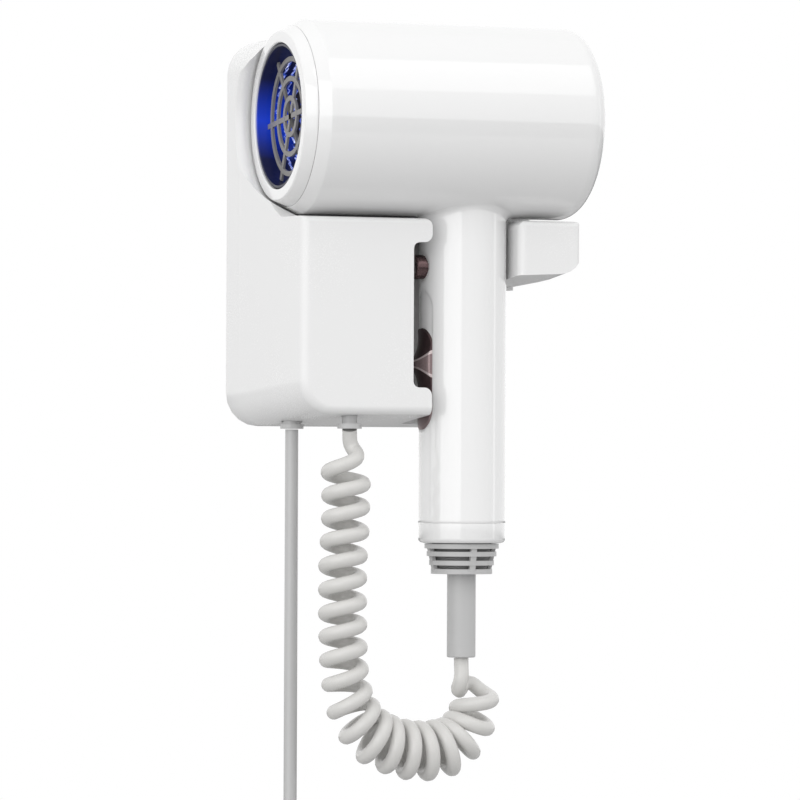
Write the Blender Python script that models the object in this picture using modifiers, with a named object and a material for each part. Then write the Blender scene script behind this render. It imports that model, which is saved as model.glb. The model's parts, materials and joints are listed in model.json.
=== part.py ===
"""A wall-mounted hair dryer resting in its holder, with a curly cord and a mains lead.

Every size below is in millimetres. Shapes are drawn round the dryer's own centre, where the barrel's
axis (X) crosses the handle's axis (Z); Y grows towards the wall. CENTRE carries that point into the
object's frame, whose origin is the middle of the back plate's rear face.
"""
import math

import bmesh
import bpy
from mathutils import Vector

MM = 0.001
GAP = 0.3

# The wall unit
WALL_Y = 46.0
WALL_LEFT, WALL_RIGHT = -85.0, 25.0
WALL_TOP, WALL_BOTTOM = 33.0, -123.0
CENTRE = Vector((-(WALL_LEFT + WALL_RIGHT) / 2, -WALL_Y, -(WALL_TOP + WALL_BOTTOM) / 2))
STRIP_Y = 30.0
FRONT_Y = -17.0
FRONT_LEFT, FRONT_RIGHT = -74.0, 45.3
FRONT_BOTTOM = -118.3
CORNER_R = 13.5
WALL_T = 2.0
SADDLE_R = 40.2
SHELF_Z = -40.2
SLOT_BACK_Y = 19.5
SLOT_RIGHT = 18.0
LIP_X = -19.4
RECESS_X = -27.3
TOP_LIP_Z = -49.8
LOW_LIP_Z = -107.7
ARM_BOTTOM_Z = -61.5
ARM_DROP = 5.0
ARM_CORNER_R = 10.0
EDGE_R = 1.2
FRONT_FILLET, TOP_FILLET = 3.1, 2.4
FILLET_STEPS = 4
PLATE_T = 1.8
BOSS_R = 3.4
PILOT_R, PILOT_DEPTH = 1.75, 6.9
SCREW_SPOTS = ((-75.5, -88.0), (-4.0, -108.0), (-64.0, 26.2), (12.0, 26.2))

# The dryer's barrel
BARREL_R = 39.0
BARREL_T = 2.0
OUTLET_X = -79.1
SEAM_X = -74.3
CONE_X = -69.6
END_X = 48.3
END_R = 7.7
HOLE_R = 28.8
SLEEVE_R = 27.6
RIM_R = 33.5
SEAM_R = 36.3
GRILLE_X = -74.0

# The handle and what hangs under it
HANDLE_R = 17.6
HANDLE_T = 2.0
HANDLE_SEAM_Z = -161.6
HANDLE_END_Z = -169.8
INLET_TIERS = ((15.0, -170.1, -172.0), (14.1, -173.2, -175.1), (13.1, -176.8, -178.7), (12.4, -180.2, -182.2))
RELIEF_R = 5.8
RELIEF_END_Z = -215.8

# The controls on the handle's -X side
TRACK_HALF = 7.8
TRACK_TOP_Z, TRACK_BOTTOM_Z = -68.0, -124.8
TRACK_R = 17.2
SLIDER_HALF = 7.5
SLIDER_TOP_Z, SLIDER_BOTTOM_Z = -83.5, -124.5
SLIDER_CREST_R = 21.5
SLIDER_LOW_R = 17.9
BUTTON_Z = -59.1
BUTTON_R = 4.9
BUTTON_X = -21.4

# The cords
CURLY_CABLE_D = 5.9
CURLY_START = Vector((-51.0, -8.0, -124.2))
# The middle of the curly cord's coil from the wall unit to the handle: x, y, z and the coil's radius there
CURLY_ROUTE = (
    (-51.0, -8.0, -124.5, 0.0), (-51.0, -8.0, -126.7, 0.8), (-52.3, -8.0, -132.7, 3.6), (-52.5, -8.0, -140.9, 7.0),
    (-52.5, -8.0, -159.6, 6.9), (-53.6, -8.0, -178.4, 6.9), (-53.6, -8.0, -197.1, 6.9), (-53.1, -8.0, -215.3, 6.9),
    (-51.9, -7.1, -224.4, 6.9), (-49.3, -6.2, -233.9, 7.4), (-44.4, -5.3, -241.8, 8.1), (-38.1, -4.4, -247.6, 8.8),
    (-30.9, -3.6, -250.6, 9.0), (-23.2, -2.7, -252.6, 9.2), (-15.3, -1.8, -253.0, 9.4), (-7.3, -0.9, -251.9, 9.2),
    (-0.7, 0.0, -247.9, 8.3), (4.4, 0.0, -241.0, 7.4), (6.0, 0.0, -231.5, 6.9), (4.7, 0.0, -225.5, 4.8),
    (1.6, 0.0, -219.9, 1.0), (0.0, 0.0, -216.1, 0.0),
)
MAINS_D = 5.4
MAINS_X, MAINS_Y = -67.0, 16.0
GLAND_END_Z = -124.2
COIL_Z = -319.0
COIL_MID_R = 33.5
COIL_HALF = 7.3
COIL_LEAD_R = 38.0
COIL_TAIL_R = 29.0


def clear_scene():
    for old in list(bpy.data.objects):
        bpy.data.objects.remove(old, do_unlink=True)


def new_collection(name):
    collection = bpy.data.collections.new(name)
    bpy.context.scene.collection.children.link(collection)
    return collection


clear_scene()
PARTS = new_collection("hair_dryer_in_wall_holder")
CUTTERS = new_collection("cutters")


def finish(name, color, roughness, metallic=0.0, alpha=1.0):
    """A plain Principled material."""
    made = bpy.data.materials.new(name)
    made.use_nodes = True
    shader = made.node_tree.nodes["Principled BSDF"]
    shader.inputs["Base Color"].default_value = (*color, 1.0)
    shader.inputs["Roughness"].default_value = roughness
    shader.inputs["Metallic"].default_value = metallic
    shader.inputs["Alpha"].default_value = alpha
    return made


WHITE = finish("gloss_white_shell", (0.86, 0.87, 0.88), 0.12)
HOUSING = finish("satin_white_housing", (0.82, 0.83, 0.84), 0.35)
INNER = finish("natural_inner_plastic", (0.62, 0.62, 0.60), 0.6)
GREY = finish("grey_soft_plastic", (0.42, 0.42, 0.43), 0.45)
GRILLE = finish("grille_grey_metal", (0.22, 0.22, 0.22), 0.4, 0.6)
BRONZE = finish("rose_bronze_metal", (0.28, 0.16, 0.15), 0.28, 0.9)
CORD = finish("cord_jacket", (0.72, 0.71, 0.69), 0.35)
LEAD = finish("mains_jacket", (0.70, 0.70, 0.69), 0.25)
BLUE = finish("blue_light_ring", (0.02, 0.05, 0.8), 0.3, 0.0, 0.8)
MICA = finish("mica_sheet", (0.48, 0.38, 0.24), 0.5)
WIRE = finish("resistance_wire", (0.45, 0.43, 0.41), 0.3, 0.9)
STEEL = finish("zinc_steel", (0.62, 0.62, 0.63), 0.3, 1.0)
COPPER = finish("copper_winding", (0.60, 0.28, 0.12), 0.35, 0.9)
BOARD = finish("circuit_board", (0.03, 0.22, 0.08), 0.5)
DARK = finish("black_plastic", (0.03, 0.03, 0.03), 0.5)
RUBBER = finish("black_rubber", (0.04, 0.04, 0.04), 0.8)
BRASS = finish("brass_pin", (0.75, 0.6, 0.25), 0.3, 1.0)


# ---------------------------------------------------------------- drawing tools

def arc(center, radius, start, end, steps):
    """Points round a centre from one angle to another, in degrees."""
    points = []
    for step in range(steps + 1):
        angle = math.radians(start + (end - start) * step / steps)
        points.append((center[0] + radius * math.cos(angle), center[1] + radius * math.sin(angle)))
    return points


def rounded(corners, steps=5):
    """A closed outline from (x, y, radius) corners, with each corner drawn as an arc."""
    outline = []
    for index, (x, y, radius) in enumerate(corners):
        here = Vector((x, y))
        if radius <= 0:
            outline.append((x, y))
            continue
        before = (Vector(corners[index - 1][:2]) - here).normalized()
        after = (Vector(corners[(index + 1) % len(corners)][:2]) - here).normalized()
        half = before.angle(after) / 2
        reach = radius / math.tan(half)
        middle = here + (before + after).normalized() * (radius / math.sin(half))
        first = here + before * reach - middle
        last = here + after * reach - middle
        turn = first.angle_signed(last)
        for step in range(steps + 1):
            angle = math.atan2(first.y, first.x) - turn * step / steps
            outline.append((middle.x + radius * math.cos(angle), middle.y + radius * math.sin(angle)))
    return outline


def add_object(name, mesh, finish_used, cutter=False):
    placed = bpy.data.objects.new(name, mesh)
    if cutter:
        placed.hide_render = True
        placed.display_type = "WIRE"
        CUTTERS.objects.link(placed)
    else:
        mesh.materials.append(finish_used)
        PARTS.objects.link(placed)
    return placed


def settle(placed, origin):
    """Puts the object's origin at a point given round the dryer's centre."""
    placed.location = (CENTRE + Vector(origin)) * MM
    return placed


def turned(name, profile, finish_used, origin=(0, 0, 0), axis="Z", steps=32, cutter=False):
    """A profile of (radius, height) turned round an axis; it runs down its outer side."""
    mesh = bpy.data.meshes.new(name)
    verts = [(radius * MM, 0.0, height * MM) for radius, height in profile]
    edges = [(index, index + 1) for index in range(len(verts) - 1)]
    if profile[0][0] > 0 or profile[-1][0] > 0:
        edges.append((len(verts) - 1, 0))
    mesh.from_pydata(verts, edges, [])
    placed = add_object(name, mesh, finish_used, cutter)
    screw = placed.modifiers.new("turn", "SCREW")
    screw.steps = steps
    screw.render_steps = steps
    screw.use_merge_vertices = True
    screw.merge_threshold = 0.00001
    screw.use_smooth_shade = True
    if axis == "X":
        placed.rotation_euler = (0, math.pi / 2, 0)
    if axis == "Y":
        placed.rotation_euler = (-math.pi / 2, 0, 0)
    return settle(placed, origin)


def rod(name, radius, low, high, finish_used, origin=(0, 0, 0), axis="Z", steps=24, cutter=False):
    return turned(name, [(0, high), (radius, high), (radius, low), (0, low)], finish_used, origin, axis, steps, cutter)


def pipe(name, outer, inner, low, high, finish_used, origin=(0, 0, 0), axis="Z", steps=32, cutter=False):
    profile = [(outer, high), (outer, low), (inner, low), (inner, high)]
    return turned(name, profile, finish_used, origin, axis, steps, cutter)


def lay_flat(point, level, plane):
    """An outline's (a, b) point and its level across the plane, as a point in space."""
    a, b = point
    spots = {"XZ": (a, level, b), "YZ": (level, a, b), "XY": (a, b, level)}
    return Vector(spots[plane]) * MM


def prism(name, outline, low, high, plane, finish_used, origin=(0, 0, 0), cutter=False):
    """A flat outline pushed through from one level to another."""
    shape = bmesh.new()
    face = shape.faces.new([shape.verts.new(lay_flat(point, low, plane)) for point in outline])
    pushed = bmesh.ops.extrude_face_region(shape, geom=[face])
    moved = [item for item in pushed["geom"] if isinstance(item, bmesh.types.BMVert)]
    bmesh.ops.translate(shape, verts=moved, vec=lay_flat((0, 0), high - low, plane))
    bmesh.ops.recalc_face_normals(shape, faces=shape.faces)
    mesh = bpy.data.meshes.new(name)
    shape.to_mesh(mesh)
    shape.free()
    return settle(add_object(name, mesh, finish_used, cutter), origin)


def box(name, low, high, finish_used, cutter=False):
    """A box between two corners, with its origin in its middle."""
    middle = (Vector(low) + Vector(high)) / 2
    size = Vector(high) - Vector(low)
    shape = bmesh.new()
    bmesh.ops.create_cube(shape, size=1.0)
    bmesh.ops.scale(shape, vec=size * MM, verts=shape.verts)
    mesh = bpy.data.meshes.new(name)
    shape.to_mesh(mesh)
    shape.free()
    return settle(add_object(name, mesh, finish_used, cutter), middle)


def loft(name, sections, finish_used, cutter=False):
    """A solid through like outlines: each section is (y, outline) in the XZ plane."""
    shape = bmesh.new()
    rings = []
    for level, outline in sections:
        rings.append([shape.verts.new(lay_flat(point, level, "XZ")) for point in outline])
    count = len(rings[0])
    for near, far in zip(rings, rings[1:]):
        for index in range(count):
            after = (index + 1) % count
            shape.faces.new((near[index], near[after], far[after], far[index]))
    shape.faces.new(rings[0])
    shape.faces.new(rings[-1])
    bmesh.ops.recalc_face_normals(shape, faces=shape.faces)
    mesh = bpy.data.meshes.new(name)
    shape.to_mesh(mesh)
    shape.free()
    return settle(add_object(name, mesh, finish_used, cutter), (0, 0, 0))


def tube(name, points, diameter, finish_used, sides=2, radii=None):
    """A round cord or wire through points, or one with a radius of its own at each point.

    Sides is the curve's bevel resolution.
    """
    curve = bpy.data.curves.new(name, "CURVE")
    curve.dimensions = "3D"
    curve.bevel_depth = diameter / 2 * MM
    curve.bevel_resolution = sides
    curve.use_fill_caps = True
    spline = curve.splines.new("POLY")
    spline.points.add(len(points) - 1)
    shares = [1.0] * len(points) if radii is None else [radius * 2 / diameter for radius in radii]
    for place, point, share in zip(spline.points, points, shares):
        place.co = (*(Vector(point) * MM), 1.0)
        place.radius = share
    placed = bpy.data.objects.new(name, curve)
    curve.materials.append(finish_used)
    PARTS.objects.link(placed)
    return settle(placed, (0, 0, 0))


def boolean(target, other, operation):
    step = target.modifiers.new(other.name, "BOOLEAN")
    step.operation = operation
    step.object = other
    step.solver = "EXACT"


def cut(target, *cutters):
    for other in cutters:
        boolean(target, other, "DIFFERENCE")
    return target


def unite(target, *others):
    for other in others:
        boolean(target, other, "UNION")
    return target


def soften(target, width, segments=2, angle=40):
    """Rounds the edges that turn by more than an angle."""
    step = target.modifiers.new("soft_edges", "BEVEL")
    step.width = width * MM
    step.segments = segments
    step.limit_method = "ANGLE"
    step.angle_limit = math.radians(angle)
    return target


def smooth_route(anchors, spacing):
    """Points about a spacing apart on a smooth curve through anchor points."""
    anchors = [Vector(anchor) for anchor in anchors]
    padded = [anchors[0] * 2 - anchors[1]] + anchors + [anchors[-1] * 2 - anchors[-2]]
    points = []
    for before, start, end, after in zip(padded, padded[1:], padded[2:], padded[3:]):
        steps = max(1, round((end - start).length / spacing))
        for step in range(steps):
            t = step / steps
            along = (end - before) * t + (before * 2 - start * 5 + end * 4 - after) * t * t
            along += (start * 3 - before - end * 3 + after) * t ** 3
            points.append(start + along * 0.5)
    points.append(anchors[-1])
    return points


# ---------------------------------------------------------------- wall unit

def housing_section(level, inset):
    """The housing's outline across the wall at one depth, drawn in by an inset."""
    forward = max(0.0, (STRIP_Y - level) / (STRIP_Y - FRONT_Y))
    left = WALL_LEFT + (FRONT_LEFT - WALL_LEFT) * forward + inset
    right = WALL_RIGHT + (FRONT_RIGHT - WALL_RIGHT) * forward - inset
    bottom = WALL_BOTTOM + (FRONT_BOTTOM - WALL_BOTTOM) * forward + inset
    top = WALL_TOP - inset
    radius = CORNER_R - inset
    return rounded([(left, bottom, radius), (right, bottom, radius), (right, top, radius), (left, top, radius)], 5)


def front_fillet(inset):
    """Levels behind the front face and how far its rounded edge draws in at each, from deep to shallow."""
    radius = FRONT_FILLET - inset
    center = FRONT_Y + inset + radius
    return [(center - across, radius - back) for back, across in arc((0, 0), radius, 0, 90, FILLET_STEPS)]


def slot_outline(level, grow, flare=0.0):
    """The handle's slot with its two lips, and the space under the sloping arm, across the wall at one depth."""
    left, low, right = LIP_X - grow, LOW_LIP_Z - grow, SLOT_RIGHT + grow + flare
    deep, high = RECESS_X - grow, TOP_LIP_Z + grow
    floor = ARM_BOTTOM_Z - ARM_DROP * (level - FRONT_Y) / (STRIP_Y - FRONT_Y)
    corner = (FRONT_RIGHT - ARM_CORNER_R, floor + ARM_CORNER_R)
    tip_r = 3.2 - min(grow, 1.5)
    outline = rounded([
        (left, -150, 0), (left, low, tip_r), (deep, low, 2.5 + grow), (deep, high, 2.5 + grow),
        (left, high, tip_r), (left, -28, 0), (right, -28, 0), (right, floor + grow, tip_r),
    ], 5)
    outline += arc(corner, ARM_CORNER_R - grow, -90, -4, 6)
    return outline + [(90, corner[1]), (90, -150)]


def saddle_profile(grow):
    """The barrel's bed: a straight bore that narrows round the outlet's cone and opens softly at its end."""
    rim = OUTLET_X - 0.5
    return [
        (0, 75), (SADDLE_R + grow, 75), (SADDLE_R + grow, CONE_X), (34.4 + grow, rim), (33.5 + grow, rim - 1.5),
        (33.5 + grow, rim - 2.8), (34.2 + grow, rim - 4.2), (36.0 + grow, rim - 5.6), (40.0 + grow, -92), (0, -92),
    ]


def front_clearance(name, grow):
    """Everything in front of the barrel's bed and above the shelf."""
    ledge = SHELF_Z - grow
    radius = TOP_FILLET - grow
    lip = arc((FRONT_Y + grow + radius, ledge - radius), radius, 180, 90, FILLET_STEPS)
    outline = [(-70, ledge - radius)] + lip + [(-1, ledge), (4, ledge + 3.4), (9, ledge + 7.9), (9, 60), (-70, 60)]
    return prism(name, outline, -120, 90, "YZ", None, cutter=True)


def top_corner(name, x, side):
    """Rounds one upper corner of the block or the arm, seen from the front."""
    radius = 3.3
    center = (x - side * radius, SHELF_Z - radius)
    curve = [(center[0] + side * (px - center[0]), py) for px, py in arc(center, radius, 93, -3, 6)]
    outline = curve + [(x + side * 4, center[1]), (x + side * 4, SHELF_Z + 4), (center[0] - side, SHELF_Z + 4)]
    return prism(name, outline, FRONT_Y - 20, 0.5, "XZ", None, cutter=True)


def housing_body(name, inset, cutter):
    """The housing's outer shape, or with an inset the space inside its walls."""
    back = WALL_Y + (20 if inset else 0)
    fillet = front_fillet(inset)
    levels = [(back, 0.0), (STRIP_Y, 0.0)] + fillet
    sections = [(level, housing_section(level, inset + drawn)) for level, drawn in levels]
    body = loft(name, sections, HOUSING, cutter)
    saddle = turned(name + "_bed", saddle_profile(inset), None, axis="X", steps=72, cutter=True)
    flared = [(-60, fillet[-1][1])] + fillet[::-1] + [(SLOT_BACK_Y + inset, 0.0)]
    slot = loft(name + "_slot", [(level, slot_outline(level, inset, flare)) for level, flare in flared], None, True)
    root = ARM_BOTTOM_Z - ARM_DROP - 0.6 + inset
    beside = box(name + "_side", (WALL_RIGHT - inset, 10, -150), (90, STRIP_Y + inset, root), None, True)
    return cut(body, saddle, front_clearance(name + "_front", inset), slot, beside)


def plate_screw_hole():
    """One stepped hole through the plate and into a boss, along Y."""
    return [(0, 50), (3.2, 50), (3.2, WALL_Y - 1.0), (1.75, WALL_Y - 1.0), (1.75, WALL_Y - 10), (0, WALL_Y - 10)]


def screw_boss():
    """A post that reaches back to the plate, with a blind pilot hole in its end."""
    end = WALL_Y - PLATE_T - GAP
    return [(0, end - PILOT_DEPTH), (PILOT_R, end - PILOT_DEPTH), (PILOT_R, end), (BOSS_R, end), (BOSS_R, -40), (0, -40)]


def make_housing():
    shell = housing_body("wall_housing", 0.0, False)
    cut(shell, top_corner("lip_corner", LIP_X, 1), top_corner("arm_left_corner", SLOT_RIGHT, -1))
    cut(shell, top_corner("arm_right_corner", FRONT_RIGHT, 1))
    soften(shell, EDGE_R, 2)
    hollow = housing_body("housing_hollow", WALL_T, True)
    for number, (x, z) in enumerate(SCREW_SPOTS, 1):
        cut(hollow, turned(f"screw_boss_{number}", screw_boss(), None, (x, 0, z), "Y", 12, True))
    unite(hollow, rod("mains_hole", 4.2, -20, 20, None, (MAINS_X, MAINS_Y, FRONT_BOTTOM), "Z", 16, True))
    unite(hollow, rod("curly_hole", 3.4, -12, 12, None, (CURLY_START.x, CURLY_START.y, FRONT_BOTTOM), "Z", 16, True))
    cut(shell, hollow)
    return shell


def make_back_plate():
    edge = WALL_T + GAP
    radius = CORNER_R - edge
    left, right = WALL_LEFT + edge, WALL_RIGHT - edge
    bottom, top = WALL_BOTTOM + edge, WALL_TOP - edge
    outline = rounded([(left, bottom, radius), (right, bottom, radius), (right, top, radius), (left, top, radius)], 7)
    plate = prism("back_plate", outline, WALL_Y - PLATE_T, WALL_Y, "XZ", STEEL)
    for number, (x, z) in enumerate(SCREW_SPOTS, 1):
        cut(plate, turned(f"plate_hole_{number}", plate_screw_hole(), None, (x, 0, z), "Y", 12, True))
    for number, x in enumerate((-60.0, 2.0), 1):
        cut(plate, rod(f"wall_hole_{number}", 2.6, WALL_Y - 5, WALL_Y + 5, None, (x, 0, -58.0), "Y", 12, True))
    return plate


def make_plate_screws():
    for number, (x, z) in enumerate(SCREW_SPOTS, 1):
        head, thread, tip = WALL_Y - 0.1, WALL_Y - 0.7, WALL_Y - 8
        profile = [(0, head), (2.8, head), (2.8, thread), (1.4, thread), (1.4, tip + 1.4), (0, tip)]
        turned(f"plate_screw_{number}", profile, STEEL, (x, 0, z), "Y", 12)


def make_wall_internals():
    box("terminal_block", (-56, 22, -92), (-38, 36, -70), INNER)
    for number, x in enumerate((-52.5, -47.0, -41.5), 1):
        rod(f"terminal_screw_{number}", 1.7, 19.6, 21.7, BRASS, (x, 0, -75.0), "Y", 12)
    mains_clamp = box("mains_cord_clamp", (-76, 9, -106), (-58, 23, -101), INNER)
    cut(mains_clamp, rod("mains_clamp_bore", 3.0, -10, 10, None, (MAINS_X, MAINS_Y, -104), "Z", 16, True))
    curly_clamp = box("curly_cord_clamp", (-59, -13, -108), (-43, -3, -103), INNER)
    cut(curly_clamp, rod("curly_clamp_bore", 3.3, -10, 10, None, (CURLY_START.x, CURLY_START.y, -105), "Z", 16, True))


def make_glands():
    flange_top = GLAND_END_Z + 1.8
    profile = [(0, -112), (3.8, -112), (3.8, flange_top), (4.7, flange_top), (4.7, GLAND_END_Z), (3.0, GLAND_END_Z),
               (3.0, GLAND_END_Z + 6), (0, GLAND_END_Z + 6)]
    turned("mains_gland", profile, GREY, (MAINS_X, MAINS_Y, 0), "Z", 16)
    flange_top = GLAND_END_Z + 2.0
    profile = [(0, -112), (3.0, -112), (3.0, flange_top), (4.9, flange_top), (4.9, GLAND_END_Z), (3.3, GLAND_END_Z),
               (3.3, GLAND_END_Z + 1.2), (0, GLAND_END_Z + 1.2)]
    turned("curly_gland", profile, GREY, (CURLY_START.x, CURLY_START.y, 0), "Z", 16)


# ---------------------------------------------------------------- cords

def make_mains_lead():
    coil_x = MAINS_X + COIL_LEAD_R
    reach = COIL_LEAD_R - MAINS_D / 2
    meets = COIL_Z + math.sqrt((COIL_MID_R + COIL_HALF + GAP) ** 2 - reach ** 2)
    top = GLAND_END_Z - GAP
    count = 14
    drop = [(MAINS_X, MAINS_Y, top + (meets - top) * step / count) for step in range(count + 1)]
    tube("mains_lead", drop, MAINS_D, LEAD, 2)
    outer, inner = COIL_MID_R + COIL_HALF, COIL_MID_R - COIL_HALF
    bend = 2.0
    half = 8.4
    profile = arc((outer - bend, half - bend), bend, 90, 0, 2) + arc((outer - bend, bend - half), bend, 0, -90, 2)
    profile += arc((inner + bend, bend - half), bend, -90, -180, 2) + arc((inner + bend, half - bend), bend, 180, 90, 2)
    turned("mains_coil", profile, LEAD, (coil_x, MAINS_Y, COIL_Z), "Y", 32)
    tail_x = coil_x - COIL_TAIL_R
    tail_y = MAINS_Y - half - GAP - MAINS_D / 2
    tail = [(tail_x, tail_y, COIL_Z + 4 - 50 * step / 4) for step in range(5)]
    tube("mains_tail", tail, MAINS_D, LEAD, 2)
    make_tie(coil_x, half)
    make_plug(tail_x, tail_y, COIL_Z - 46 - GAP)


def make_tie(coil_x, half):
    """A strap round the coil's bundle at its lowest point."""
    room, thick, width = 0.9, 1.0, 6.0
    low, high = COIL_Z - COIL_MID_R - COIL_HALF - room, COIL_Z - COIL_MID_R + COIL_HALF + room
    near, far = MAINS_Y - half - room, MAINS_Y + half + room

    def loop(grow, radius):
        return rounded([(near - grow, low - grow, radius), (far + grow, low - grow, radius),
                        (far + grow, high + grow, radius), (near - grow, high + grow, radius)], 3)

    strap = prism("coil_tie", loop(thick, 2.4), coil_x - width / 2, coil_x + width / 2, "YZ", DARK)
    cut(strap, prism("tie_inside", loop(0, 1.6), coil_x - width, coil_x + width, "YZ", None, cutter=True))


def make_plug(x, y, top):
    """A slim two-pin plug hanging on the cord's far end."""
    relief = [(0, 0), (3.4, 0), (4.4, -9), (0, -9)]
    turned("plug_strain_relief", relief, LEAD, (x, y, top), "Z", 20)
    deep = top - 9 - GAP
    outline = rounded([(-6.0, -26, 1.5), (6.0, -26, 1.5), (6.0, -14, 3), (4.6, 0, 2), (-4.6, 0, 2), (-6.0, -14, 3)], 3)
    wide = [(2.2 * a if b > -20 else 2.4 * a, b) for a, b in outline]
    body = prism("plug_body", wide, -6.5, 6.5, "XZ", LEAD, (x, y, deep))
    soften(body, 1.2, 2)
    for number, side in enumerate((-1, 1), 1):
        rod(f"plug_pin_{number}", 2.0, -19, 0, BRASS, (x + side * 9.3, y, deep - 26 - GAP), "Z", 16)


def make_curly_cord():
    """One fat tube of the coil's outer size, which opens out round the bottom of the loop."""
    route = [Vector(point) for point in CURLY_ROUTE]
    smooth = smooth_route(route, 6.0)
    radii = [max(point[3], 0.0) + CURLY_CABLE_D / 2 for point in smooth]
    tube("curly_cord", [point.xyz for point in smooth], CURLY_CABLE_D, CORD, 3, radii)


# ---------------------------------------------------------------- dryer barrel

def make_barrel():
    inner = BARREL_R - BARREL_T
    profile = [(0, END_X)] + arc((BARREL_R - END_R, END_X - END_R), END_R, 90, 0, 4)
    profile += [(BARREL_R, CONE_X), (SEAM_R, SEAM_X + 0.15), (34.3, SEAM_X + 0.15), (inner, CONE_X + 0.8)]
    profile += arc((inner - 5.7, END_X - END_R), 5.7, 0, 90, 2) + [(0, END_X - BARREL_T)]
    barrel = turned("barrel_shell", profile, WHITE, axis="X", steps=48)
    cut(barrel, rod("barrel_neck_hole", 13.0, -60, -20, None, steps=32, cutter=True))


def make_outlet_ring():
    bore = HOLE_R + 0.3
    profile = [(33.8, SEAM_X - 0.15), (SEAM_R - 0.1, SEAM_X - 0.15), (RIM_R + 0.2, OUTLET_X + 0.5),
               (RIM_R - 0.4, OUTLET_X), (bore + 0.4, OUTLET_X), (bore, OUTLET_X + 0.4), (bore, SEAM_X + 2.6),
               (33.8, SEAM_X + 2.6)]
    turned("outlet_ring", profile, WHITE, axis="X", steps=48)


def make_grille():
    """Three flat rings on six spokes that reach the sleeve, all one moulding."""
    strip, thick, reach = 2.0, 1.8, SLEEVE_R - GAP
    middles = (22.9, 15.0, 7.3)
    rings = [pipe(name, middle + strip / 2, middle - strip / 2, GRILLE_X, GRILLE_X + thick, GRILLE, axis="X", steps=32,
                  cutter=name != "outlet_grille")
             for name, middle in zip(("outlet_grille", "grille_ring_2", "grille_ring_3"), middles)]
    for number in range(3):
        low, high = GRILLE_X + 0.2, GRILLE_X + thick - 0.2
        bar = box(f"grille_bar_{number + 1}", (low, -reach, -strip / 2), (high, reach, strip / 2), None, cutter=True)
        bar.rotation_euler = (math.radians(60 * number + 7), 0, 0)
        unite(rings[0], bar)
    for ring in rings[1:]:
        unite(rings[0], ring)


def make_heater():
    sleeve_end = SEAM_X + 11
    pipe("light_ring", HOLE_R, SLEEVE_R, OUTLET_X + 0.7, sleeve_end, BLUE, axis="X", steps=48)
    pipe("heater_duct", SLEEVE_R - 0.2, SLEEVE_R - 1.0, sleeve_end + GAP, -4, MICA, axis="X", steps=36)
    arms = []
    for quarter in range(4):
        angle = math.radians(90 * quarter)
        ahead = Vector((math.cos(angle), math.sin(angle)))
        side = Vector((-ahead.y, ahead.x)) * 0.5
        arms += [tuple(ahead * 21.5 - side), tuple(ahead * 21.5 + side), tuple(ahead * 0.5 + side)]
    prism("mica_cross", arms, -60, -12, "YZ", MICA)
    turns, per_turn = 8, 14
    coil = []
    for step in range(turns * per_turn + 1):
        angle = math.tau * step / per_turn
        coil.append((-58 + 42 * step / (turns * per_turn), 23.3 * math.cos(angle), 23.3 * math.sin(angle)))
    tube("heater_coil", coil, 1.3, WIRE, 0)
    rod("thermal_cutoff", 4.5, -9.5, -6.0, DARK, (0, 9, 9), "X", 20)
    rod("thermal_fuse", 1.3, -42, -28, STEEL, (0, -9, 9), "X", 12)
    box("ion_module", (14, -9, 14), (34, 9, 26), DARK)


# ---------------------------------------------------------------- dryer handle

def capsule(half, top, bottom, steps=8):
    """An upright capsule outline in the YZ plane."""
    return arc((0, top - half), half, 0, 180, steps) + arc((0, bottom + half), half, 180, 360, steps)


def make_handle():
    inner = HANDLE_R - HANDLE_T
    handle = pipe("handle_shell", HANDLE_R, inner, HANDLE_SEAM_Z + 0.15, -28, WHITE, steps=48)
    cut(handle, rod("handle_saddle", BARREL_R + GAP, -60, 60, None, axis="X", steps=96, cutter=True))
    recess = prism("track_space", capsule(TRACK_HALF, TRACK_TOP_Z, TRACK_BOTTOM_Z), -30, -8, "YZ", None, cutter=True)
    cut(recess, rod("track_floor", TRACK_R, -140, -50, None, steps=64, cutter=True))
    cut(handle, recess)
    cut(handle, rod("button_hole", BUTTON_R + GAP, -30, -8, None, (0, 0, BUTTON_Z), "X", 24, True))
    stem_slot = box("stem_slot", (-30, -1.5, -108), (-8, 1.5, -84), None, cutter=True)
    cut(handle, stem_slot)


def make_handle_ring():
    bend = 2.0
    spigot = HANDLE_R - HANDLE_T - GAP
    profile = [(HANDLE_R, HANDLE_SEAM_Z - 0.15)]
    profile += arc((HANDLE_R - bend, HANDLE_END_Z + bend), bend, 0, -90, 3)
    profile += [(spigot - 0.9, HANDLE_END_Z), (spigot - 0.9, HANDLE_SEAM_Z + 3), (spigot, HANDLE_SEAM_Z + 3),
                (spigot, HANDLE_SEAM_Z - 0.15)]
    turned("handle_end_ring", profile, WHITE, steps=36)


def make_inlet():
    """The tapering air inlet: four rings on four ribs, closed by a floor."""
    top_radius = INLET_TIERS[0][0]
    base_radius, base_high, base_low = INLET_TIERS[-1]
    floor = pipe("inlet_grille", base_radius, RELIEF_R + GAP, base_low, base_high, GREY, steps=28)
    for number, (radius, high, low) in enumerate(INLET_TIERS[:-1], 1):
        ring = pipe(f"inlet_tier_{number}", radius, radius - 2.6, low, high, None, steps=28, cutter=True)
        unite(floor, ring)
    for number in range(4):
        slope = [(base_radius - 2.0, base_low + 0.3), (base_radius - 0.3, base_low + 0.3),
                 (top_radius - 0.3, INLET_TIERS[0][1] - 0.4), (top_radius - 2.2, INLET_TIERS[0][1] - 0.4)]
        rib = prism(f"inlet_rib_{number + 1}", slope, -1.2, 1.2, "XZ", None, cutter=True)
        rib.rotation_euler = (0, 0, math.radians(90 * number))
        unite(floor, rib)
    pipe("inlet_filter", 9.6, 9.0, base_high + GAP, -166, DARK, steps=28)


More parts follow.
